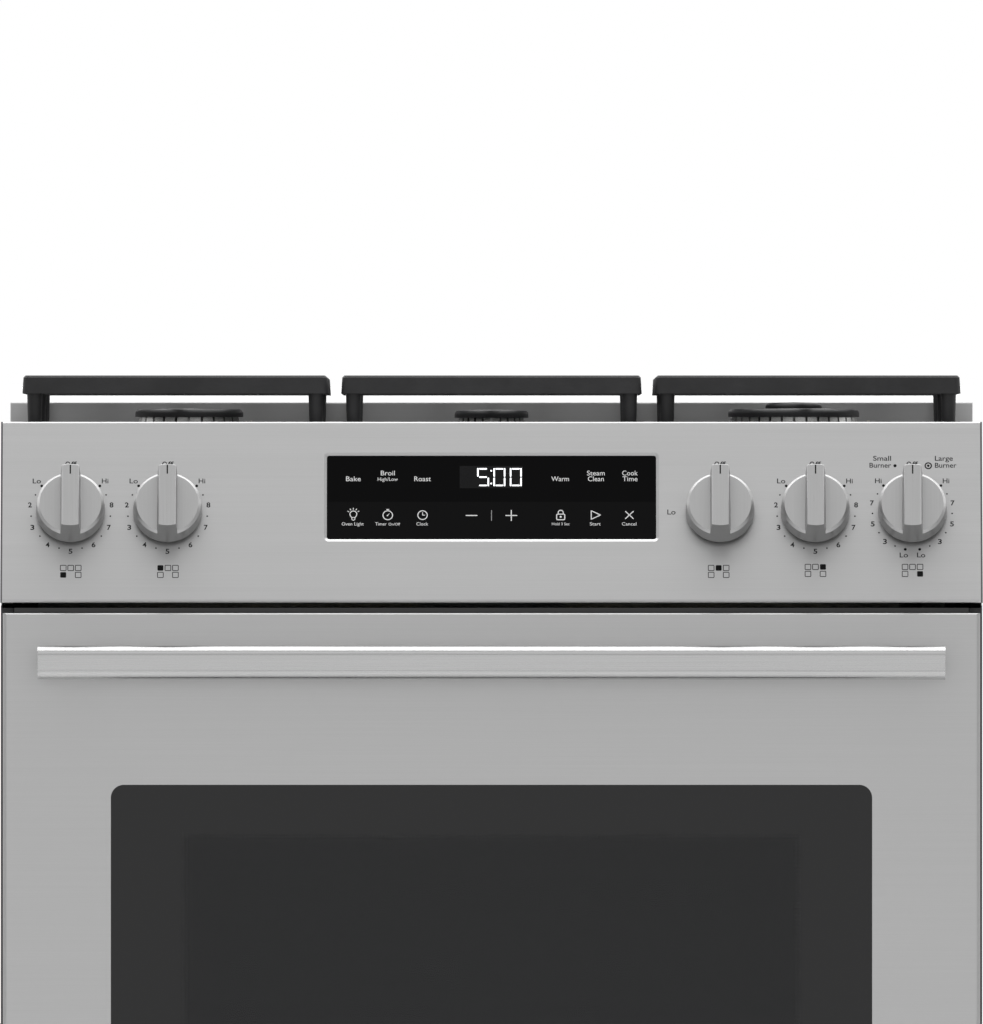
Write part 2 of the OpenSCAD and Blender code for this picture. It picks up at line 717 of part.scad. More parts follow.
module door_panel() {
  x1 = half_w - 2;
  color("silver") difference() {
    translate([0, 0, door_bottom]) linear_extrude(door_top - door_bottom) difference() {
      plate(2 * x1, door_t * 2, 3.5, [0, door_y + door_t]);
      translate([-x1, door_back_y - sheet - 0.1]) square([2 * x1, door_t * 2]);
    }
    block(-x1 + sheet, x1 - sheet, door_y + sheet, door_back_y + 1, door_bottom + sheet, door_top - sheet);
    along_y(door_y - 1, door_y + 3) plate(window_size.x, window_size.y, 10, [0, window_z]);
    for (i = [-5:5]) translate([i * 56, door_back_y - 14, door_top - 3]) linear_extrude(5) plate(40, 6, 2.9);
    arm_slots();
    // a small slope along the top and bottom edges of the face
    for (z = [door_bottom, door_top]) translate([-x1 - 1, door_y, z]) rotate([45, 0, 0])
      translate([0, -0.55, -0.55]) cube([2 * x1 + 2, 1.1, 1.1]);
  }
}

module door_window() {
  color("black") along_y(door_y + sheet + 0.1, door_y + sheet + 4.1)
    plate(window_size.x + 14, window_size.y + 14, 12, [0, window_z]);
}

module door_inner_glass() {
  color("lightblue") {
    along_y(door_back_y - 22.6, door_back_y - 19.6) plate(532, 302, 6, [0, window_z]);
    along_y(door_back_y - 5.4, door_back_y - 1.4) plate(480, 254, 6, [0, window_z]);
  }
}

module door_liner() {
  x1 = half_w - 3;
  color([0.1, 0.1, 0.11]) difference() {
    union() {
      along_y(door_back_y - sheet, door_back_y)
        plate(2 * x1, door_top - door_bottom - 1, 4, [0, (door_top + door_bottom) / 2]);
      along_y(door_back_y - 19.5, door_back_y - sheet) difference() {
        plate(534, 304, 8, [0, window_z]);
        plate(528, 298, 5, [0, window_z]);
      }
    }
    along_y(door_back_y - 3, door_back_y + 1) plate(470, 244, 12, [0, window_z]);
    arm_slots();
  }
}

module handle_section() {
  plate(2 * bar_half.x, 2 * bar_half.y, bar_half.x - 0.01, [-back_y + bar_half.x, handle_z]);
}

module door_handle() {
  color("silver") along_x(-350, 350) handle_section();
}

module handle_posts() {
  color("silver") both_sides() difference() {
    translate([322, 0, 0]) along_y(-back_y + 10, door_y - 0.1) plate(26, 21, 7, [0, handle_z]);
    along_x(280, 360) handle_section();
  }
}

// A rope seal round the oven opening, fixed in the front frame
module door_gasket() {
  r = 2.7;
  x = oven_w / 2 + 8;
  z0 = oven_floor_z - 8;
  z1 = oven_roof_z + 6;
  bend = 22;
  y = frame_y - r;
  color("dimgray") {
    for (z = [z0, z1]) rod([-x + bend, y, z], [x - bend, y, z], r);
    for (side = [-1, 1]) rod([side * x, y, z0 + bend], [side * x, y, z1 - bend], r);
    for (side = [-1, 1], top = [0, 1])
      translate([side * (x - bend), y, top ? z1 - bend : z0 + bend])
        rotate([90, side > 0 ? (top ? 0 : 90) : (top ? -90 : 180), 0])
          rotate_extrude(angle = 90) translate([bend, 0]) circle(r = r);
  }
}

// ---------- Drawer ----------

// A folded front with a closed back. Its bottom edge is open in the middle as a finger pull.
module drawer_front() {
  x1 = half_w - 2;
  z0 = 62;
  pull = 170;
  color("silver") difference() {
    translate([0, 0, z0]) linear_extrude(drawer_top - z0) difference() {
      plate(2 * x1, 40, 3.5, [0, door_y + 20]);
      translate([-x1, door_y + 20]) square([2 * x1, 40]);
    }
    block(-x1 + sheet, x1 - sheet, door_y + sheet, door_y + 20 - sheet, z0 + sheet, drawer_top - sheet);
    block(-pull, pull, door_y + sheet, door_y + 20 - sheet, z0 - 1, z0 + 2);
    for (z = [z0, drawer_top]) translate([-x1 - 1, door_y, z]) rotate([45, 0, 0])
      translate([0, -0.55, -0.55]) cube([2 * x1 + 2, 1.1, 1.1]);
  }
}

module drawer_tray() {
  x1 = 334;
  y0 = door_y + 20;
  y1 = 205;
  z0 = 78;
  z1 = 180;
  color("gray") {
    difference() {
      block(-x1, x1, y0, y1, z0, z1);
      block(-x1 + sheet, x1 - sheet, y0 + sheet, y1 - sheet, z0 + sheet, z1 + 1);
    }
    both_sides() block(x1 - 0.5, x1 + 16, y0 + 34, y1, z1 - sheet, z1);
    both_sides() block(x1 - 0.5, x1 + 30, y0, y0 + sheet, z0, z1 + 20);
  }
}

module drawer_rails() {
  top = 178.5;
  color("gainsboro") both_sides() along_y(frame_y + 5, 240)
    folded([[341, top - sheet], [377.6, top - sheet], [377.6, 150]], -sheet, 0.8);
}

// ---------- Oven racks ----------

// A round outer frame with cross wires, and long wires that lie on top of them
module rack(level) {
  $fn = 24;
  x = oven_w / 2 - 9;
  y0 = frame_y + 18;
  y1 = cavity_back - 10;
  z = level + 3.2;
  wires = 15;
  pitch = 2 * x / (wires + 1);
  color("silver") {
    pipe([[0, y0, z], [-x, y0, z], [-x, y1, z], [x, y1, z], [x, y0, z], [0, y0, z]], 3, 3);
    for (i = [1:2]) rod([-x, y0 + 150 * i, z], [x, y0 + 150 * i, z], 2.4);
    for (i = [1:wires]) rod([-x + i * pitch, y0, z + 4], [-x + i * pitch, y1, z + 4], 2);
  }
}

module rack_upper() {
  rack(ledge_z[4]);
}

module rack_lower() {
  rack(ledge_z[1]);
}

// ---------- Knobs and valve stems ----------

flat_y = 3;

module valve_stem(i) {
  color("goldenrod") on_panel(knob_x[i], knob_u) difference() {
    union() {
      translate([0, 0, -48]) cylinder(h = 22, r = 7);
      translate([0, 0, -27]) cylinder(h = 45, r = 4);
    }
    translate([-5, flat_y, 0.4]) cube([10, 5, 18]);
  }
}

module knob(i) {
  r_face = knob_r - 0.8;
  r_top = knob_r - 1.1;
  foot = grip_w / 2 + 1.1;
  slope_w = 1.9;
  slope_h = 1.8;
  cut = [[40, disc_h], [foot + 0.3, disc_h], [foot, disc_h + 0.3], [grip_w / 2, grip_h - 0.4],
    [grip_w / 2 - 0.4, grip_h], [grip_w / 2 - 0.4, grip_h + 2], [40, grip_h + 2]];
  color("silver") on_panel(knob_x[i], knob_u) difference() {
    rotate_extrude() polygon([[0, knob_gap], [knob_r, knob_gap], [r_face, disc_h], [r_top, grip_h - 0.4],
      [r_top - 0.4, grip_h], [0, grip_h]]);
    // the flats each side of the grip
    both_sides() along_y(-40, 40) polygon(cut);
    // a sloped edge round the disc, but not across the grip's ends
    both_sides() intersection() {
      rotate_extrude() polygon([[r_face - slope_w, disc_h], [r_face + slope_w, disc_h - 2 * slope_h],
        [r_face + slope_w, disc_h + 1], [r_face - slope_w, disc_h + 1]]);
      block(foot, 40, -40, 40, disc_h - 4, disc_h + 2);
    }
    // hollow skirt round the hub
    difference() {
      translate([0, 0, knob_gap - 1]) cylinder(h = disc_h - knob_gap - 1.4, r = knob_r - 3.4);
      cylinder(h = disc_h, r = 8);
    }
    // D-shaped socket for the stem
    intersection() {
      translate([0, 0, knob_gap - 1]) cylinder(h = 18.5, r = 4.06);
      block(-5, 5, -5, flat_y + 0.06, 0, 40);
    }
  }
}

base_frame();
side_panels();
rear_cover();
front_frame();
oven_cavity();
oven_floor();
bake_burner();
broil_burner();
rack_guides();
oven_lamp();
temperature_sensor();
oven_insulation();
flue_duct();
cooktop_deck();
vent_trim();
burner_bases();
burner_heads();
burner_caps();
igniters();
gas_manifold();
valve_bodies();
gas_tubes();
gas_regulator();
spark_module();
control_fascia();
fascia_end_caps();
touch_glass();
control_housing();
control_board();
control_rail();
drawer_rails();
hinge_arms();
door_gasket();
power_inlet();
levelling_feet();
panel_screws();
door_panel();
door_window();
door_inner_glass();
door_liner();
door_handle();
handle_posts();
door_hinges();
drawer_front();
drawer_tray();
rack_upper();
rack_lower();
grate_left();
grate_centre();
grate_right();
valve_stem(0);  // valve_stem_left_front
valve_stem(1);  // valve_stem_left_rear
valve_stem(2);  // valve_stem_centre
valve_stem(3);  // valve_stem_right_rear
valve_stem(4);  // valve_stem_right_front
knob(0);  // knob_left_front
knob(1);  // knob_left_rear
knob(2);  // knob_centre
knob(3);  // knob_right_rear
knob(4);  // knob_right_front
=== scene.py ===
"""Looks for a freestanding gas range: finishes, printed scales, touch panel, lights and camera."""
import json
import math

import bmesh
import bpy
from mathutils import Matrix, Vector


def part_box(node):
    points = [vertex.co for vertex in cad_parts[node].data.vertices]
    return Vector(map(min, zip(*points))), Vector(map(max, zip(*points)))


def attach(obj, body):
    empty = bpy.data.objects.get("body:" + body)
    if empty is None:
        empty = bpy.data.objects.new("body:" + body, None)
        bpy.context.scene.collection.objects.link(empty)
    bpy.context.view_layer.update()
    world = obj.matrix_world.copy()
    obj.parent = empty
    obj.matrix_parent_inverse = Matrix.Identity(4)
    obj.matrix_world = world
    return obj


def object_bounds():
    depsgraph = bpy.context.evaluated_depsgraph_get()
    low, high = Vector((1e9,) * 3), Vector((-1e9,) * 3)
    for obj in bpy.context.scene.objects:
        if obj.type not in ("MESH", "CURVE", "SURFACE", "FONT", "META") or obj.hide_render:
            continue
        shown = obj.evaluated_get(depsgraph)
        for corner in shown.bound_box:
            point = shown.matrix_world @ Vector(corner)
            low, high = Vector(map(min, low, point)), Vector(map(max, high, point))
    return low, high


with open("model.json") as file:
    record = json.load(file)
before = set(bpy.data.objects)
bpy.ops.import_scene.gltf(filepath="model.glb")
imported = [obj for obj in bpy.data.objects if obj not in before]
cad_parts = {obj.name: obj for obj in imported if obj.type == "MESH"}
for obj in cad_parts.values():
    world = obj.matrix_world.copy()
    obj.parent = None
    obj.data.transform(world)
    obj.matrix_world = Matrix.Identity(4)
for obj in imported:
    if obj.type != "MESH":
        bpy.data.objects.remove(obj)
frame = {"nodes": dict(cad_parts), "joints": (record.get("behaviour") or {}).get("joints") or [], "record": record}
cad_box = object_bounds()

MM = 0.001
NODES = frame["nodes"]
JOINTS = {joint["name"]: joint for joint in frame["joints"]}
DIALS = ("left_front", "left_rear", "centre", "right_rear", "right_front")

# The panel's own directions: out of its face, and up its slope from the line through the dials
PANEL_OUT = -Vector(JOINTS["centre_turn"]["axis"]).normalized()
PANEL_UP = PANEL_OUT.cross(Vector((1, 0, 0)))
PANEL_TILT = math.atan2(PANEL_OUT.z, -PANEL_OUT.y)
DIAL_LINE = Vector(JOINTS["centre_turn"]["pos_m"])
DIAL_X = {name: JOINTS[name + "_turn"]["pos_m"][0] / MM for name in DIALS}

INK = 0.05 * MM


# ---------- Materials ----------

LOOKS = {}


class Finish:
    """One node material on the object's own coordinates, in metres. LOOKS keeps it under its name."""

    def __init__(self, name, color, roughness, metallic=0.0, **sockets):
        self.material = bpy.data.materials.new(name)
        LOOKS[name] = self.material
        self.material.use_nodes = True
        self.tree = self.material.node_tree
        self.shader = self.tree.nodes["Principled BSDF"]
        self.color = (*color, 1.0)
        self.shader.inputs["Base Color"].default_value = self.color
        self.shader.inputs["Roughness"].default_value = roughness
        self.shader.inputs["Metallic"].default_value = metallic
        for socket, value in sockets.items():
            self.shader.inputs[socket.replace("_", " ")].default_value = value
        self.normal = None

    def node(self, kind, **settings):
        """A new node with these settings."""
        made = self.tree.nodes.new(kind)
        for name, value in settings.items():
            setattr(made, name, value)
        return made

    def join(self, output, socket):
        """Links an output to a socket."""
        self.tree.links.new(output, socket)

    def place(self, size, turn=0.0):
        """Coordinates that count in steps of size (metres along X, Y and Z), turned about X."""
        where = self.node("ShaderNodeTexCoord").outputs["Object"]
        mapping = self.node("ShaderNodeMapping", vector_type="TEXTURE")
        mapping.inputs["Scale"].default_value = size if hasattr(size, "__len__") else (size,) * 3
        mapping.inputs["Rotation"].default_value = (turn, 0, 0)
        self.join(where, mapping.inputs["Vector"])
        return mapping.outputs["Vector"]

    def noise(self, size, detail=3.0, turn=0.0):
        """Soft noise with features of this size."""
        made = self.node("ShaderNodeTexNoise")
        made.inputs["Scale"].default_value = 1.0
        made.inputs["Detail"].default_value = detail
        made.inputs["Roughness"].default_value = 0.55
        self.join(self.place(size, turn), made.inputs["Vector"])
        return made.outputs["Fac"]

    def cells(self, size, output="Distance"):
        """Scattered cells of this size."""
        made = self.node("ShaderNodeTexVoronoi")
        made.inputs["Scale"].default_value = 1.0
        self.join(self.place(size), made.inputs["Vector"])
        return made.outputs[output]

    def facing(self, direction):
        """1 on a face that looks along direction or back along it, 0 on a face edge on to it."""
        made = self.node("ShaderNodeVectorMath", operation="DOT_PRODUCT")
        self.join(self.node("ShaderNodeTexCoord").outputs["Normal"], made.inputs[0])
        made.inputs[1].default_value = direction
        return self.math("ABSOLUTE", made.outputs["Value"], 0.0)

    def along(self, axis):
        """The object's own coordinate along "X", "Y" or "Z", in metres."""
        made = self.node("ShaderNodeSeparateXYZ")
        self.join(self.node("ShaderNodeTexCoord").outputs["Object"], made.inputs[0])
        return made.outputs[axis]

    def remap(self, value, low, high, from_low=0.3, from_high=0.7):
        """A value that goes from low to high as value goes from from_low to from_high."""
        made = self.node("ShaderNodeMapRange")
        ends = {"From Min": from_low, "From Max": from_high, "To Min": low, "To Max": high}
        for socket, number in ends.items():
            made.inputs[socket].default_value = number
        self.join(value, made.inputs["Value"])
        return made.outputs["Result"]

    def math(self, operation, a, b):
        """One sum on two numbers or outputs. ABSOLUTE takes only the first."""
        made = self.node("ShaderNodeMath", operation=operation)
        for socket, value in zip(made.inputs, (a, b)):
            if isinstance(value, (int, float)):
                socket.default_value = value
            else:
                self.join(value, socket)
        return made.outputs[0]

    def blend(self, a, b, share):
        """a and b added up, with this share of b."""
        return self.math("ADD", self.math("MULTIPLY", a, 1 - share), self.math("MULTIPLY", b, share))

    def tint(self, value, low, high):
        """A colour that goes from low to high as value goes from 0 to 1."""
        made = self.node("ShaderNodeMix", data_type="RGBA")
        self.join(value, made.inputs["Factor"])
        for socket, color in zip((made.inputs[6], made.inputs[7]), (low, high)):
            if isinstance(color, bpy.types.NodeSocket):
                self.join(color, socket)
            else:
                socket.default_value = (*color, 1.0)
        return made.outputs[2]

    def shade(self, value, low, high):
        """The base colour, from low to high times its brightness as value goes from 0 to 1."""
        dark = [c * low for c in self.color[:3]]
        light = [min(c * high, 1.0) for c in self.color[:3]]
        self.paint(self.tint(value, dark, light))

    def paint(self, output):
        """Sets the base colour from an output."""
        self.join(output, self.shader.inputs["Base Color"])

    def rough(self, output):
        """Sets the roughness from an output."""
        self.join(output, self.shader.inputs["Roughness"])

    def bump(self, height, depth):
        """Adds relief, depth metres deep, on top of any relief there already is."""
        made = self.node("ShaderNodeBump")
        made.inputs["Distance"].default_value = depth
        made.inputs["Strength"].default_value = 1.0
        self.join(height, made.inputs["Height"])
        if self.normal is not None:
            self.join(self.normal, made.inputs["Normal"])
        self.normal = made.outputs["Normal"]
        self.join(self.normal, self.shader.inputs["Normal"])


# How dark the painted shade on faces edge on to front is, as a share of the colour
EDGE_ON_PAINTED_SHADE = 0.68


def brushed(name, color, roughness, grain, turn=0.0, contrast=0.06, metallic=1.0, front=None):
    """Brushed metal. grain is the size of a scratch along X, Y and Z, turned about X. Where it has one long side,
    the scratches fade out on faces across it. Faces edge on to front get a painted shade: their colour is darkened
    to stand in for the dim light their walls reflect."""
    finish = Finish(name, color, roughness, metallic)
    fine = finish.noise(grain, 2.0, turn)
    coarse = finish.noise([size * 4 for size in grain], 2.0, turn)
    lines = finish.blend(fine, coarse, 0.35)
    if grain.count(max(grain)) == 1:
        along = Matrix.Rotation(turn, 3, "X") @ Vector([float(size == max(grain)) for size in grain])
        shown = finish.remap(finish.facing(along), 1, 0.15, 0.6, 0.95)
        lines = finish.math("ADD", finish.math("MULTIPLY", finish.math("SUBTRACT", lines, 0.5), shown), 0.5)
    value = finish.blend(lines, finish.noise(0.22), 0.15)
    low, high = ([c * (1 + side * contrast) for c in color] for side in (-1, 1))
    metal = finish.tint(finish.remap(value, 0, 1), low, high)
    # Painted shade: faces edge on to front are darkened, standing in for the dim reflections on those walls
    if front is not None:
        painted_wall_shade = [c * EDGE_ON_PAINTED_SHADE for c in color]
        metal = finish.tint(finish.remap(finish.facing(front), 0, 1, 0.3, 0.6), painted_wall_shade, metal)
    finish.paint(metal)
    finish.rough(finish.remap(value, roughness - 0.05, roughness + 0.06))
    finish.bump(lines, 0.006 * MM)


def enamel(name, color, roughness, speck=None):
    """Fired enamel: glossy, faintly wavy, and speckled if speck names a colour."""
    finish = Finish(name, color, roughness, Coat_Weight=0.4, Coat_Roughness=0.05)
    smudge = finish.noise(0.07, 4.0)
    finish.rough(finish.remap(smudge, roughness * 0.8, roughness * 1.6))
    if speck:
        dots = finish.remap(finish.cells(0.0045), 1.0, 0.0, 0.08, 0.16)
        finish.paint(finish.tint(dots, color, speck))
    else:
        finish.shade(finish.remap(smudge, 0, 1), 0.85, 1.2)
    finish.bump(finish.noise(0.004, 1.0), 0.02 * MM)


def cast(name, color, roughness, grain=0.0009, depth=0.12 * MM, metallic=0.0):
    """Sand-cast metal with a pitted skin, worn a little lighter where the noise is high."""
    finish = Finish(name, color, roughness, metallic)
    pits = finish.noise(grain, 4.0)
    broad = finish.noise(0.03, 3.0)
    finish.shade(finish.remap(finish.math("MULTIPLY", pits, broad), 0, 1, 0.15, 0.4), 0.7, 1.7)
    finish.rough(finish.remap(pits, roughness - 0.12, roughness + 0.1))
    finish.bump(pits, depth)
    finish.bump(finish.noise(0.012, 2.0), 0.1 * MM)


def galvanised(name, color):
    """Zinc-coated sheet with its spangle."""
    finish = Finish(name, color, 0.42, 0.9)
    spangle = finish.node("ShaderNodeSeparateColor")
    finish.join(finish.cells(0.009, "Color"), spangle.inputs["Color"])
    flake = spangle.outputs["Red"]
    finish.shade(flake, 0.9, 1.08)
    finish.rough(finish.remap(flake, 0.38, 0.5, 0, 1))
    finish.bump(finish.noise(0.002, 2.0), 0.01 * MM)


def painted(name, color, roughness):
    """Powder paint with a fine orange peel."""
    finish = Finish(name, color, roughness)
    finish.shade(finish.remap(finish.noise(0.15, 4.0), 0, 1), 0.95, 1.05)
    finish.rough(finish.remap(finish.noise(0.02, 4.0), roughness - 0.015, roughness + 0.02))
    finish.bump(finish.noise(0.0016, 2.0), 0.03 * MM)


def polished(name, color):
    """Bright plated wire, a little dulled by heat in places."""
    roughness = 0.14
    finish = Finish(name, color, roughness, 1.0)
    heat = finish.remap(finish.noise(0.08, 3.0), 0, 1)
    finish.paint(finish.tint(heat, color, [color[0] * 0.86, color[1] * 0.8, color[2] * 0.7]))
    finish.rough(finish.remap(heat, roughness, roughness + 0.12, 0, 1))
    finish.bump(finish.noise(0.0012, 2.0), 0.01 * MM)


def moulded(name, color, roughness, grain=0.0008, **sockets):
    """Moulded plastic or ceramic with a fine texture."""
    finish = Finish(name, color, roughness, **sockets)
    finish.shade(finish.remap(finish.noise(0.02, 3.0), 0, 1), 0.9, 1.1)
    finish.rough(finish.remap(finish.noise(grain, 2.0), roughness - 0.08, roughness + 0.08))
    finish.bump(finish.noise(grain, 2.0), 0.02 * MM)


def board(name, color):
    """A circuit board: green with paler tracks."""
    finish = Finish(name, color, 0.35)
    tracks = finish.node("ShaderNodeTexBrick")
    tracks.inputs["Scale"].default_value = 1.0
    tracks.inputs["Mortar Size"].default_value = 0.08
    tracks.inputs["Color1"].default_value = (0.01, 0.13, 0.05, 1)
    tracks.inputs["Color2"].default_value = (0.012, 0.17, 0.06, 1)
    tracks.inputs["Mortar"].default_value = (0.05, 0.3, 0.12, 1)
    finish.join(finish.place(0.006), tracks.inputs["Vector"])
    finish.paint(tracks.outputs["Color"])
    finish.rough(finish.remap(finish.noise(0.01), 0.28, 0.45))
    finish.bump(tracks.outputs["Fac"], 0.02 * MM)


def woven(name, color, size, depth):
    """Braided or matted fibre."""
    finish = Finish(name, color, 0.9, Sheen_Weight=0.3)
    strands = finish.cells(size)
    finish.shade(finish.remap(strands, 1, 0, 0.0, 0.7), 0.65, 1.15)
    finish.rough(finish.remap(strands, 0.8, 0.97, 0, 0.7))
    finish.bump(finish.remap(strands, 1, 0, 0, 0.7), depth)


def black_glass(name):
    """Opaque printed glass. Its lower half is printed a shade lighter than its upper half."""
    finish = Finish(name, (0.003, 0.003, 0.0033), 0.1, Specular_IOR_Level=0.06)
    edge, blur = DIAL_LINE.z + 8 * MM, 0.2 * MM
    lower = finish.remap(finish.along("Z"), 1, 0, edge - blur, edge + blur)
    finish.paint(finish.tint(lower, (0.0016, 0.0016, 0.0018), (0.0042, 0.0042, 0.0044)))
    finish.rough(finish.remap(finish.noise(0.06, 4.0), 0.07, 0.14))
    finish.bump(finish.noise(0.05, 1.0), 0.004 * MM)


def window_glass(name):
    """Dark oven window: a black printed border that breaks into dots around the clear middle."""
    side_border, top_border, dotted, pitch = 62 * MM, 44 * MM, 16 * MM, 3.2 * MM
    low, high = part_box("door_window")
    middle, half = (low + high) / 2, (high - low) / 2
    finish = Finish(name, (0.006, 0.006, 0.007), 0.04, Specular_IOR_Level=0.5, IOR=1.5)
    sides = []
    for axis, at, edge in (("X", middle.x, half.x - side_border), ("Z", middle.z, half.z - top_border)):
        away = finish.math("ABSOLUTE", finish.math("SUBTRACT", finish.along(axis), at), 0.0)
        sides.append(finish.math("SUBTRACT", away, edge))
    inside = finish.math("MULTIPLY", finish.math("MAXIMUM", *sides), -1.0)
    dots = finish.cells((pitch, 1.0, pitch))
    dots.node.inputs["Randomness"].default_value = 0.0
    fade = finish.remap(inside, 0.62, 0.0, 0.0, dotted)
    printed = finish.math("LESS_THAN", dots, fade)
    border = finish.math("LESS_THAN", inside, 0.0)
    solid = finish.math("MAXIMUM", printed, border)
    finish.join(finish.remap(solid, 0.5, 0.0, 0, 1), finish.shader.inputs["Transmission Weight"])
    finish.join(finish.remap(solid, 0.62, 1.0, 0, 1), finish.shader.inputs["Alpha"])
    finish.paint(finish.tint(solid, (0.02, 0.021, 0.023), (0.004, 0.004, 0.0045)))
    finish.rough(finish.remap(finish.noise(0.09, 4.0), 0.03, 0.08))
    finish.bump(finish.noise(0.12, 1.0), 0.01 * MM)


def clear_glass(name, color, alpha):
    """Thin see-through glass, a little uneven."""
    finish = Finish(name, color, 0.05, Alpha=alpha, IOR=1.5)
    finish.rough(finish.remap(finish.noise(0.05, 4.0), 0.03, 0.1))
    finish.shade(finish.remap(finish.noise(0.1, 2.0), 0, 1), 0.92, 1.05)
    finish.bump(finish.noise(0.03, 1.0), 0.01 * MM)


def ink(name, color, glow=0.0):
    """Printed ink, slightly uneven. glow makes it give off light: the lit segment's own light, or a faint painted
    glow on the white and grey ink.
    """
    finish = Finish(name, color, 0.5, Specular_IOR_Level=0.15, Emission_Color=(*color, 1.0),
                    Emission_Strength=glow)
    finish.shade(finish.remap(finish.noise(0.0012, 2.0), 0, 1), 0.94, 1.05)
    finish.rough(finish.remap(finish.noise(0.0006, 2.0), 0.42, 0.58))


# The size of a scratch along X, Y and Z, before any turn about X
ALONG_X = (0.16, 0.0006, 0.0006)
UP_SLOPE = (0.0004, 0.0004, 0.04)
ALONG_SHAFT = (0.001, 0.02, 0.001)
ROUND_HEAD = (0.01, 0.01, 0.001)
EVERY_WAY = (0.02, 0.02, 0.02)

# Every finish, with its colour and, where it varies, its roughness
brushed("brushed_stainless", (0.56, 0.56, 0.56), 0.36, ALONG_X, contrast=0.035, metallic=0.88)
brushed("handle_metal", (0.6, 0.6, 0.6), 0.26, ALONG_X)
# The knobs get a painted shade on their side walls, which face edge on to the panel's face
brushed("knob_metal", (0.5, 0.5, 0.5), 0.32, UP_SLOPE, -PANEL_TILT, 0.04, metallic=0.9, front=PANEL_OUT)
brushed("burner_steel", (0.36, 0.33, 0.3), 0.42, ROUND_HEAD, contrast=0.2)
brushed("tube_metal", (0.66, 0.66, 0.67), 0.3, EVERY_WAY, contrast=0.1)
brushed("valve_brass", (0.68, 0.5, 0.2), 0.28, ALONG_SHAFT, -PANEL_TILT, 0.1)
polished("bright_metal", (0.72, 0.72, 0.73))
galvanised("galvanised", (0.5, 0.52, 0.53))
cast("cast_iron", (0.016, 0.016, 0.017), 0.55)
cast("burner_metal", (0.5, 0.5, 0.49), 0.4, grain=0.0006, depth=0.03 * MM, metallic=1.0)
painted("cap_grey", (0.13, 0.13, 0.132), 0.36)
painted("side_grey", (0.04, 0.04, 0.042), 0.38)
painted("supply_pipe", (0.12, 0.12, 0.115), 0.5)
enamel("black_enamel", (0.008, 0.008, 0.009), 0.11)
enamel("oven_enamel", (0.012, 0.015, 0.03), 0.2, speck=(0.3, 0.33, 0.4))
moulded("ceramic", (0.78, 0.75, 0.68), 0.3, grain=0.002)
moulded("black_plastic", (0.015, 0.015, 0.015), 0.5)
black_glass("black_glass")
window_glass("tinted_glass")
clear_glass("clear_glass", (0.02, 0.024, 0.024), alpha=0.3)
clear_glass("lamp_glass", (0.95, 0.92, 0.84), alpha=0.45)
board("board_green", (0.01, 0.15, 0.06))
woven("glass_wool", (0.7, 0.62, 0.36), size=0.006, depth=1.0 * MM)
woven("rope_seal", (0.22, 0.22, 0.21), size=0.0016, depth=0.5 * MM)
ink("dark_ink", (0.02, 0.02, 0.021))
ink("black_ink", (0.003, 0.003, 0.003))
# The white and grey ink are printed, not lit; their small glow is a painted glow
ink("white_ink_painted_glow", (0.7, 0.7, 0.7), glow=0.15)
ink("grey_ink_painted_glow", (0.3, 0.3, 0.3), glow=0.05)
ink("lit_segment", (0.95, 0.97, 1.0), glow=1.0)
moulded("smoked_window", (0.009, 0.009, 0.0095), 0.3, 0.003, Specular_IOR_Level=0.1)


def dress_frame():
    """Gives every CAD node the finish that its slot names."""
    for part in frame["record"]["subparts"]:
        obj = NODES[part["node"]]
        obj.data.materials.clear()
        obj.data.materials.append(LOOKS[part["material_slot"]])


def soften(node, width):
    """Rounds a CAD node's sharp edges by width metres, with modifiers only."""
    obj = NODES[node]
    if "custom_normal" in obj.data.attributes:
        obj.data.attributes.remove(obj.data.attributes["custom_normal"])
    obj.data.shade_smooth()
    weld = obj.modifiers.new("weld", "WELD")
    weld.merge_threshold = 0.02 * MM
    bevel = obj.modifiers.new("bevel", "BEVEL")
    bevel.width = width
    bevel.segments = 3
    bevel.limit_method = "ANGLE"
    bevel.angle_limit = math.radians(32)
    bevel.harden_normals = True


# How far the edges of each node are rounded, in mm
ROUNDED = {
    "door_handle": 2.0, "handle_posts": 0.8, "door_panel": 0.35, "drawer_front": 0.35, "vent_trim": 0.4,
    "fascia_end_caps": 0.3, "cooktop_deck": 0.4, "grate_left": 1.4, "grate_centre": 1.4,
    "grate_right": 1.4, "levelling_feet": 0.4, "gas_regulator": 1.0, "valve_bodies": 0.6,
    "drawer_tray": 0.3, "side_panels": 0.3, "power_inlet": 0.8,
}
for dial in DIALS:
    ROUNDED["knob_" + dial] = 0.35
    ROUNDED["valve_stem_" + dial] = 0.4


# ---------- Printed and lit marks ----------

def on_panel(x, up, out=0.0):
    """The matrix that takes a flat drawing (X across, Y up, Z out) to a place on the panel, in mm."""
    turned = Matrix((Vector((1, 0, 0)), PANEL_UP, PANEL_OUT)).transposed().to_4x4()
    where = Vector((x * MM, DIAL_LINE.y, DIAL_LINE.z))
    return Matrix.Translation(where + PANEL_UP * up * MM + PANEL_OUT * out * MM) @ turned


def face_height(node):
    """How far a node reaches out of the panel's face, in mm."""
    return max((vertex.co - DIAL_LINE).dot(PANEL_OUT) for vertex in NODES[node].data.vertices) / MM


def flat_word(word, size, bold):
    """A mesh of this word, as thick as the ink."""
    curve = bpy.data.curves.new("word", "FONT")
    curve.body = word
    curve.size = size
    curve.offset = bold
    curve.extrude = INK
    curve.resolution_u = 4
    obj = bpy.data.objects.new("word", curve)
    mesh = bpy.data.meshes.new_from_object(obj)
    bpy.data.objects.remove(obj)
    bpy.data.curves.remove(curve)
    return mesh


def extent(mesh, axis):
    """The lowest and the highest coordinate along an axis."""
    along = [vertex.co[axis] for vertex in mesh.vertices]
    return min(along), max(along)


# How tall a capital is in a word of size 1
low, high = extent(flat_word("H", 1.0, 0.0), 1)
CAPITAL = high - low


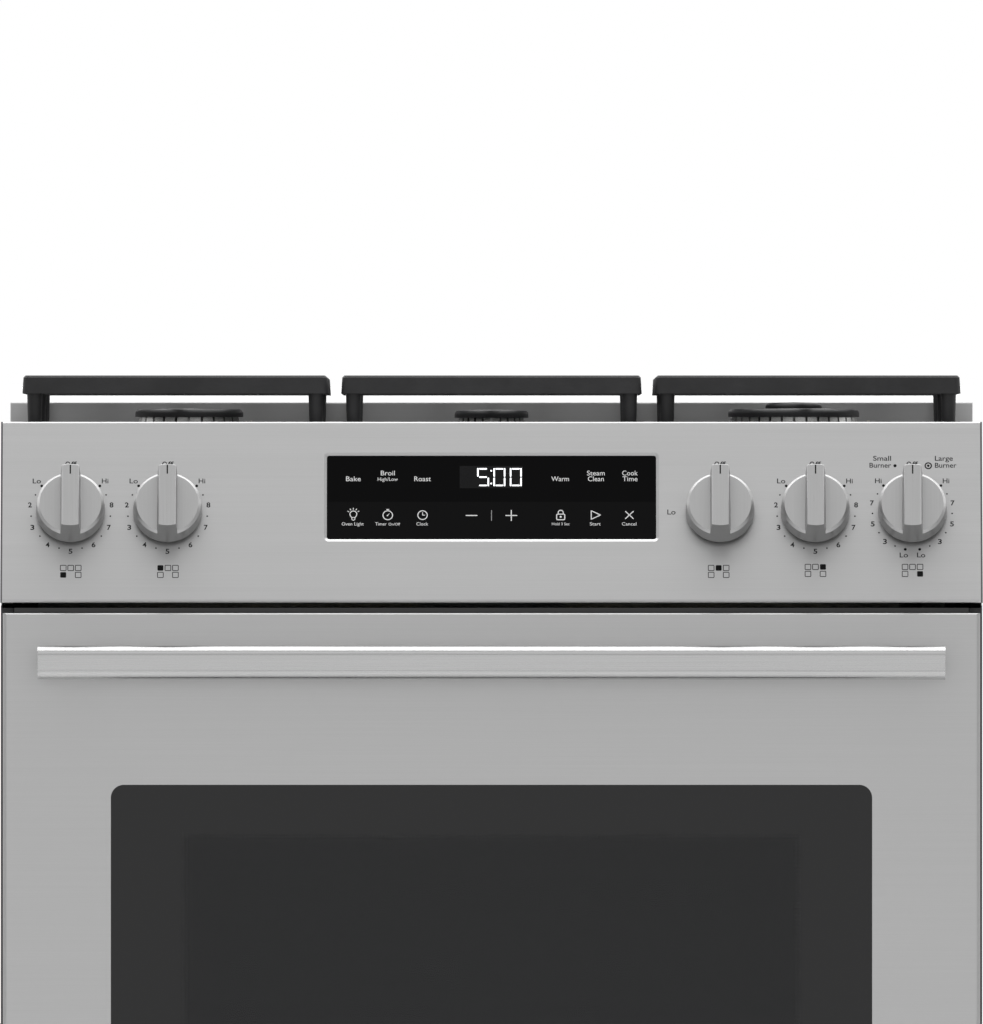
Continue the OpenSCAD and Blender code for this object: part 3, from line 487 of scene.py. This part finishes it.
class Drawing:
    """Flat marks on one plane of the panel, gathered into one mesh. Sizes and places are in mm.
    Places are as seen level from the front, so marks on a sunk plane move up the slope to stay in line."""

    def __init__(self, name, look, body, out=0.0):
        self.name, self.look, self.body, self.out = name, look, body, out
        self.rise = max(-out, 0.0) * math.tan(PANEL_TILT)
        self.mesh = bmesh.new()

    def place(self, x, up):
        """The matrix that takes a mark to its place."""
        return on_panel(x, up + self.rise, self.out)

    def outline(self, points, x, up):
        """A thin plate with this outline."""
        place = self.place(x, up)
        rings = [[self.mesh.verts.new(place @ Vector((px * MM, py * MM, level)))
                  for px, py in points] for level in (-INK, INK)]
        self.mesh.faces.new(reversed(rings[0]))
        self.mesh.faces.new(rings[1])
        for i in range(len(points)):
            j = (i + 1) % len(points)
            self.mesh.faces.new((rings[0][i], rings[0][j], rings[1][j], rings[1][i]))

    def dot(self, radius, x, up, steps=24):
        """A disc."""
        self.outline(arc(radius, 0, 360, steps)[:-1], x, up)

    def band(self, outer, inner, x, up, closed=True):
        """A flat band between two outlines with the same number of points."""
        place = self.place(x, up)
        loops = [[self.mesh.verts.new(place @ Vector((px * MM, py * MM, level))) for px, py in points]
                 for level, points in ((INK, outer), (INK, inner), (-INK, inner), (-INK, outer))]
        count = len(outer)
        for i in range(count if closed else count - 1):
            j = (i + 1) % count
            for a, b in zip(loops, loops[1:] + loops[:1]):
                self.mesh.faces.new((a[i], a[j], b[j], b[i]))
        if not closed:
            self.mesh.faces.new([loop[0] for loop in loops])
            self.mesh.faces.new([loop[-1] for loop in reversed(loops)])

    def ring(self, radius, width, x, up, start=0, end=360, steps=32):
        """A ring, or the stretch of it from start to end degrees, this wide along its middle line."""
        outer, inner = (arc(r, start, end, steps) for r in (radius + width / 2, radius - width / 2))
        if end - start == 360:
            self.band(outer[:-1], inner[:-1], x, up)
        else:
            self.band(outer, inner, x, up, closed=False)

    def line(self, a, b, width, x, up=0.0):
        """A straight stroke with round ends."""
        angle = math.degrees(math.atan2(b[1] - a[1], b[0] - a[0]))
        points = []
        for end, start in ((b, angle - 90), (a, angle + 90)):
            points += [(end[0] + px, end[1] + py) for px, py in arc(width / 2, start, start + 180, 6)]
        self.outline(points, x, up)

    def tile(self, width, height, corner, x, up):
        """A rectangle with round corners."""
        self.outline(rounded(width, height, corner), x, up)

    def frame(self, width, height, corner, line, x, up):
        """The outline of a rectangle with round corners, with its line inside width and height."""
        inner = rounded(width - 2 * line, height - 2 * line, max(corner - line, 0.05))
        self.band(rounded(width, height, corner), inner, x, up)

    def word(self, text, capital, x, up, width, bold=0.01):
        """A word centred on (x, up), this wide, with capitals this tall."""
        size = capital * MM / CAPITAL
        mesh = flat_word(text, size, bold * size)
        left, right = extent(mesh, 0)
        stretch = width * MM / (right - left)
        middle = (left + right) / 2
        shift = Matrix.Translation((-middle * stretch, -capital * MM / 2, 0))
        mesh.transform(self.place(x, up) @ shift @ Matrix.Diagonal((stretch, 1, 1, 1)))
        self.mesh.from_mesh(mesh)
        bpy.data.meshes.remove(mesh)

    def done(self):
        """Makes the marks one piece that moves with its body."""
        bmesh.ops.recalc_face_normals(self.mesh, faces=self.mesh.faces)
        mesh = bpy.data.meshes.new(self.name)
        self.mesh.to_mesh(mesh)
        self.mesh.free()
        obj = bpy.data.objects.new(self.name, mesh)
        bpy.context.scene.collection.objects.link(obj)
        mesh.materials.append(LOOKS[self.look])
        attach(obj, self.body)


def arc(radius, start, end, steps):
    """Points from start to end degrees, anticlockwise from the right."""
    angles = [math.radians(start + (end - start) * i / steps) for i in range(steps + 1)]
    return [(radius * math.cos(a), radius * math.sin(a)) for a in angles]


def rounded(width, height, corner, steps=5):
    """The outline of a rectangle with round corners."""
    points = []
    for sign_x, sign_y, start in ((1, 1, 0), (-1, 1, 90), (-1, -1, 180), (1, -1, 270)):
        cx, cy = sign_x * (width / 2 - corner), sign_y * (height / 2 - corner)
        points += [(cx + px, cy + py) for px, py in arc(corner, start, start + 90, steps)]
    return points


def clock_place(radius, degrees):
    """A place at this radius, clockwise from the top."""
    angle = math.radians(degrees)
    return radius * math.sin(angle), radius * math.cos(angle)


# The marks round a dial, in mm from its middle. The heavy end dots stand on a circle, and the small dots and
# the numbers on rings a little taller than round. LEGEND is how tall a capital is.
DOT, END = "", "*"
RINGS = {DOT: 30.8, END: 31.4}
NUMBER_RING = 32.1
TALLER = 1.014
SMALL_DOT, END_DOT = 0.64, 1.1
FAR_LEFT = -28
OFF_UP, ICON_UP = 40.2, -46.4
LEGEND = 3.9
SINGLE_SCALE = (END, DOT, "8", DOT, "7", DOT, "6", DOT, "5", DOT, "4", DOT, "3", DOT, "2", DOT, END)
DOUBLE_SCALE = (END, DOT, "7", DOT, "5", DOT, "3", DOT, END)

# For each dial, the square of its icon that is filled in, and how far right and up the icon is printed
ICONS = {
    "left_front": (3, 0.2, 0), "left_rear": (0, 0.4, 0), "centre": (1, -1.2, 0), "right_rear": (2, 0, 0.85),
    "right_front": (4, 0, 0.85),
}


def scale_marks(grey, black, x, start, step, marks, pull=0.0):
    """Marks round a dial, the first at start and the next each step degrees on: a number, a small dot, or
    the heavy dot at an end of the scale. pull moves the marks at the far left in, towards the dial."""
    digit_width, bold, steps = 3.0, 0.022, 14
    for i, mark in enumerate(marks):
        across, up = clock_place(RINGS.get(mark, NUMBER_RING), start + step * i)
        inward = pull * (across < FAR_LEFT)
        if mark == END:
            black.dot(END_DOT, x + across, up)
        elif mark == DOT:
            grey.dot(SMALL_DOT, x + across + inward, up * TALLER, steps)
        else:
            grey.word(mark, LEGEND, x + across + inward, up * TALLER, digit_width, bold)


def burner_icon(grey, black, x, up, chosen):
    """Three rear squares and two front ones, with the dial's own burner filled in."""
    pitch, filled, open_side, corner, line = 5.8, 4.6, 5.0, 0.8, 0.58
    front = up - pitch
    places = [(-pitch, up), (0, up), (pitch, up), (-pitch, front), (pitch, front)]
    for i, (across, square_up) in enumerate(places):
        if i == chosen:
            black.tile(filled, filled, corner, x + across, square_up)
        else:
            grey.frame(open_side, open_side, corner, line, x + across, square_up)


def single_dial(grey, black, x, pull):
    """One burner's scale, from high clockwise to low."""
    scale_marks(grey, black, x, start=45.6, step=16.8, marks=SINGLE_SCALE, pull=pull)
    grey.word("Lo", LEGEND, x - 26.3, 26.1, 6.4)
    grey.word("Hi", LEGEND, x + 26.5, 26.1, 5.1)


def double_dial(grey, black, x):
    """A scale to each side of off, and the burner that each is for."""
    for side, burner, across in ((-1, "Small", 0.8), (1, "Large", 0.6)):
        scale_marks(grey, black, x, start=side * 45, step=side * 15.6, marks=DOUBLE_SCALE)
        grey.word("Hi", LEGEND, x + side * 26.2, 26.2, 5.1)
        grey.word("Lo", LEGEND, x + side * 6.7, -35.6, 6.4)
        grey.word(burner, LEGEND, x + across + side * 24.0, 45.0, 13.9)
        grey.word("Burner", LEGEND, x + across + side * 25.4, 39.2, 16.7)
    small_sign, large_sign, up = x - 13.2, x + 12.5, 38.8
    black.dot(1.25, small_sign, up)
    black.dot(1.0, large_sign, up)
    black.ring(2.4, 1.0, large_sign, up)


def print_dials():
    """The scales, words and burner icons on the steel."""
    for dial in DIALS:
        x = DIAL_X[dial]
        grey = Drawing("scale_" + dial, "dark_ink", "range_body")
        black = Drawing("scale_dots_" + dial, "black_ink", "range_body")
        # Off, with a little more space after its first letter
        grey.word("O", LEGEND, x - 2.4, OFF_UP, 3.8, 0.02)
        grey.word("ff", LEGEND, x + 2.35, OFF_UP, 4.5, 0.02)
        chosen, across, rise = ICONS[dial]
        burner_icon(grey, black, x + across, ICON_UP + rise, chosen)
        if dial == "centre":
            grey.word("Lo", LEGEND + 0.1, x - 37.6, 0.2, 6.4)
        elif dial == "right_front":
            double_dial(grey, black, x)
        else:
            single_dial(grey, black, x, pull=1.15 if dial == "right_rear" else 0.0)
        grey.done()
        black.done()


def mark_knobs():
    """The black line on each grip, a little proud of its face."""
    for dial in DIALS:
        line = Drawing("pointer_" + dial, "black_ink", "dial_" + dial, face_height("knob_" + dial))
        line.tile(width=1.05, height=7.4, corner=0.15, x=DIAL_X[dial], up=20.95)
        line.done()


# The bars of the digits that the clock shows
ZERO, FIVE = "abcdef", "afgcd"


def digit(lit, x, up, bars):
    """A seven-bar digit with its lower left corner at (x, up). bars names the bars that are lit."""
    width, height, line, gap = 9.2, 15.0, 1.15, 0.45
    half = height / 2
    across = width - 2 * line - 2 * gap
    upright = half - gap
    shapes = {
        "a": (across, line, width / 2, height - line / 2),
        "g": (across, line, width / 2, half),
        "d": (across, line, width / 2, line / 2),
        "f": (line, upright, line / 2, half + gap + upright / 2),
        "b": (line, upright, width - line / 2, half + gap + upright / 2),
        "e": (line, upright, line / 2, upright / 2),
        "c": (line, upright, width - line / 2, upright / 2),
    }
    for bar in bars:
        bar_w, bar_h, across_at, up_at = shapes[bar]
        lit.tile(bar_w, bar_h, 0.4, x + across_at, up + up_at)


def light_display(face):
    """The smoked display window and its lit clock."""
    window = Drawing("display_window", "smoked_window", "range_body", face)
    window.tile(width=48.6, height=18.5, corner=0.3, x=-0.3, up=29.35)
    window.done()
    lit = Drawing("display_time", "lit_segment", "range_body", face + 0.06)
    for x, bars in ((-11.1, FIVE), (1.5, ZERO), (14.2, ZERO)):
        digit(lit, x, 21.8, bars)
    for colon_up in (24.0, 34.6):
        lit.dot(0.7, -0.2, colon_up, 16)
    lit.done()


def draw_bulb(pen, x):
    """A lamp with its cap and five rays."""
    middle, line = -1.6, 0.65
    pen.ring(2.65, 0.7, x, middle, -50, 230)
    pen.ring(1.2, 0.6, x, middle - 3.85, steps=20)
    for side in (-1, 1):
        pen.line((side * 1.72, -2.0), (side * 1.15, -3.2), line, x, middle)
    for angle in (30, 60, 90, 120, 150):
        inner, outer = (arc(radius, angle, angle, 1)[0] for radius in (4.0, 5.0))
        pen.line(inner, outer, line, x, middle)


def draw_timer(pen, x):
    """A stopwatch with its crown and hand."""
    middle = -2.5
    pen.ring(3.7, 0.7, x, middle)
    pen.outline([(-1.4, 5.1), (-0.5, 4.3), (0.5, 4.3), (1.4, 5.1)], x, middle)
    pen.outline([(-0.95, -0.3), (-0.3, -0.95), (1.8, 1.8)], x, middle)


def draw_clock(pen, x):
    """A clock at three."""
    middle, line = -2.4, 0.6
    pen.ring(3.65, 0.7, x, middle)
    for tip in ((0, 2.1), (1.7, 0)):
        pen.line((0, 0), tip, line, x, middle)


def draw_lock(pen, x):
    """A padlock with its shackle and keyhole."""
    shackle, line, bend = 1.95, 0.7, -0.3
    pen.frame(width=7.0, height=5.4, corner=1.2, line=0.75, x=x, up=-3.9)
    pen.ring(shackle, line, x, bend, 0, 180)
    for side in (-1, 1):
        pen.line((side * shackle, bend), (side * shackle, -1.2), line, x)
    pen.dot(0.85, x, -3.8, 16)


def draw_start(pen, x):
    """A triangle that points right."""
    corners = [(-3.5, 3.6), (-3.5, -3.6), (3.6, 0)]
    for a, b in zip(corners, corners[1:] + corners[:1]):
        pen.line(a, b, 0.75, x + 0.1, -2.3)


def draw_cross(pen, x):
    """A diagonal cross."""
    arm = 3.0
    for side in (-arm, arm):
        pen.line((-arm, side), (arm, -side), 0.75, x, -2.3)


STEP_ROW, STEP_ARM = -2.7, 4.2


def draw_steps(pen, minus, plus):
    """The minus and plus signs."""
    line = 0.8
    for x in (minus, plus):
        pen.line((-STEP_ARM, 0), (STEP_ARM, 0), line, x, STEP_ROW)
    pen.line((0, -STEP_ARM), (0, STEP_ARM), line, plus, STEP_ROW)


def print_divider(face):
    """The grey line between minus and plus."""
    # The grey ink carries a faint painted glow
    grey = Drawing("touch_divider", "grey_ink_painted_glow", "range_body", face)
    grey.line((0, -STEP_ARM), (0, STEP_ARM), 0.6, 0, STEP_ROW)
    grey.done()


def print_touch_keys(face):
    """The white words and signs of the touch keys."""
    columns = (-106.8, -80.2, -53.3, 53.5, 80.5, 106.6)
    first, second, third, fourth, fifth, sixth = columns
    large, small, lower, middle, upper = 3.9, 2.6, -9.7, 27.9, 32.7
    # Place across and up, the word, and the height and width of its letters
    words = [
        (first, middle, "Bake", large, 11.4), (second, upper, "Broil", large, 10.8),
        (second, middle - 0.3, "High/Low", 2.8, 15.6), (third, middle, "Roast", large, 12.8),
        (fourth - 0.4, middle, "Warm", large, 13.6), (fifth + 0.2, upper, "Steam", large, 13.7),
        (fifth + 0.2, middle, "Clean", large, 12.3), (sixth + 0.5, upper, "Cook", large, 12.0),
        (sixth + 0.5, middle, "Time", large, 11.5), (first - 0.5, lower, "Oven Light", small, 17.0),
        (second - 5.3, lower, "Timer", small, 8.7), (second + 5.1, lower - 0.2, "On/Off", 2.1, 9.0),
        (third - 0.2, lower, "Clock", small, 9.1), (fourth, lower, "Hold 3 Sec", 2.2, 13.6),
        (fifth - 0.3, lower, "Start", small, 8.3), (sixth - 0.2, lower, "Cancel", small, 11.2),
    ]
    # The white ink carries a faint painted glow
    white = Drawing("touch_legends", "white_ink_painted_glow", "range_body", face)
    for x, up, text, capital, width in words:
        white.word(text, capital, x, up, width, 0.0)
    for draw, x in zip((draw_bulb, draw_timer, draw_clock, draw_lock, draw_start, draw_cross), columns):
        draw(white, x)
    draw_steps(white, minus=-15.4, plus=15.3)
    white.done()


# ---------- Stage ----------

def softbox(name, place, aim, size, radiance):
    """A rectangular area light of this radiance, facing aim. The camera sees it only in reflections."""
    light = bpy.data.lights.new(name, "AREA")
    light.shape = "RECTANGLE"
    light.size, light.size_y = size
    light.energy = radiance * math.pi * size[0] * size[1]
    obj = bpy.data.objects.new(name, light)
    bpy.context.scene.collection.objects.link(obj)
    obj.visible_camera = False
    obj.location = place
    obj.rotation_euler = (Vector(aim) - Vector(place)).to_track_quat("-Z", "Y").to_euler()


def lay_floor():
    """A pale floor that fades out around the object."""
    reach, fade_from, fade_to = 3.3, 1.4, 3.2
    finish = Finish("floor_pale", (0.82, 0.82, 0.82), 0.6)
    finish.shade(finish.remap(finish.noise(0.6), 0, 1), 0.985, 1.01)
    finish.rough(finish.remap(finish.noise(0.2), 0.55, 0.7))
    away = finish.node("ShaderNodeVectorMath", operation="LENGTH")
    finish.join(finish.place(1.0), away.inputs[0])
    faded = finish.remap(away.outputs["Value"], 1.0, 0.0, fade_from, fade_to)
    finish.join(faded, finish.shader.inputs["Alpha"])
    mesh = bpy.data.meshes.new("floor")
    corners = [(-reach, -reach, 0), (reach, -reach, 0), (reach, reach, 0), (-reach, reach, 0)]
    mesh.from_pydata(corners, [], [(0, 1, 2, 3)])
    floor = bpy.data.objects.new("floor", mesh)
    bpy.context.scene.collection.objects.link(floor)
    mesh.materials.append(finish.material)


def surround():
    """White where the camera sees it, and half as bright as a light."""
    world = bpy.data.worlds.new("surround")
    bpy.context.scene.world = world
    world.use_nodes = True
    tree = world.node_tree
    light = tree.nodes["Background"]
    light.inputs["Color"].default_value = (1, 1, 1, 1)
    light.inputs["Strength"].default_value = 0.5
    seen = tree.nodes.new("ShaderNodeBackground")
    seen.inputs["Color"].default_value = (1, 1, 1, 1)
    ray = tree.nodes.new("ShaderNodeLightPath")
    mix = tree.nodes.new("ShaderNodeMixShader")
    tree.links.new(ray.outputs["Is Camera Ray"], mix.inputs["Fac"])
    tree.links.new(light.outputs[0], mix.inputs[1])
    tree.links.new(seen.outputs[0], mix.inputs[2])
    tree.links.new(mix.outputs[0], tree.nodes["World Output"].inputs["Surface"])


def light_scene():
    """Softboxes over, in front of, behind and beside the object. Places and sizes are in metres."""
    cooktop, door = (0, -0.3, 0.8), (0, -0.3, 0.75)
    softbox("overhead", (0, -0.3, 2.9), cooktop, (3.0, 1.6), 2.4)
    softbox("front", (0, -2.9, 3.0), cooktop, (3.6, 1.6), 0.3)
    softbox("backdrop", (0, 1.9, 2.9), cooktop, (6.8, 2.2), 2.2)
    softbox("low_front", (0, -3.2, 0.75), door, (3.8, 1.5), 0.3)
    for side in (-1, 1):
        softbox("side", (side * 3.4, 0.9, 2.1), (0, -0.3, 0.9), (2.2, 1.8), 1.1)


def make_camera():
    """Level with the panel, straight in front and far off, so the panel fills the width of the picture."""
    distance, rise, margin, height_over_width = 30.0, 0.2 * MM, 1.0012, 1024 / 983
    shown = height_over_width * margin * (cad_box[1].x - cad_box[0].x)
    camera = bpy.data.cameras.new("camera")
    camera.sensor_width = 36
    camera.lens = camera.sensor_width * distance / shown
    camera.clip_end = 100
    obj = bpy.data.objects.new("camera", camera)
    bpy.context.scene.collection.objects.link(obj)
    obj.location = (0, DIAL_LINE.y - distance, DIAL_LINE.z + rise)
    obj.rotation_euler = (math.radians(90), 0, 0)
    bpy.context.scene.camera = obj
    bpy.context.scene.view_settings.view_transform = "Standard"


dress_frame()
for node, radius in ROUNDED.items():
    soften(node, radius * MM)
print_dials()
mark_knobs()
glass_face = face_height("touch_glass")
light_display(glass_face)
print_touch_keys(glass_face)
print_divider(glass_face)
lay_floor()
surround()
light_scene()
make_camera()
